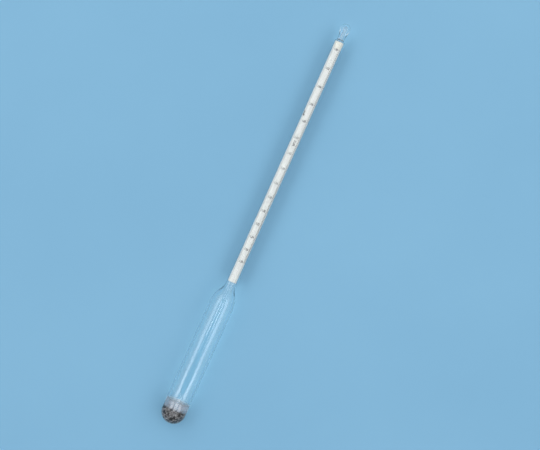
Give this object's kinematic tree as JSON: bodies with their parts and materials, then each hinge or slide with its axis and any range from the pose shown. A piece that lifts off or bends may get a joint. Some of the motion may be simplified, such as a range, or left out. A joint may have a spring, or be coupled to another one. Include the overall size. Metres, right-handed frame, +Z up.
{
  "type": "hydrometer",
  "caption": "Sealed glass float with lead shot in its rounded end and a thin stem that holds a paper scale; it floats upright to show a liquid's density.",
  "frame": {"origin": "on the surface that the float lies on, below the middle of the overall length", "axes": "+X along the glass axis from the ballast end towards the tip, +Z up; the scale's reading side faces +Z"},
  "size_m": [0.3, 0.0171, 0.0171],
  "materials": {
    "clear_glass": "polished",
    "scale_paper": "matte",
    "band_paper": "satin",
    "lead": "satin",
    "cast_seal": "satin"
  },
  "bodies": {
    "root": {"float_body": "clear_glass", "stem_tube": "clear_glass", "stem_tip": "clear_glass", "scale_paper": "scale_paper", "stop_band": "band_paper", "lead_shot": "lead", "ballast_seal": "cast_seal"}
  },
  "joints": []
}
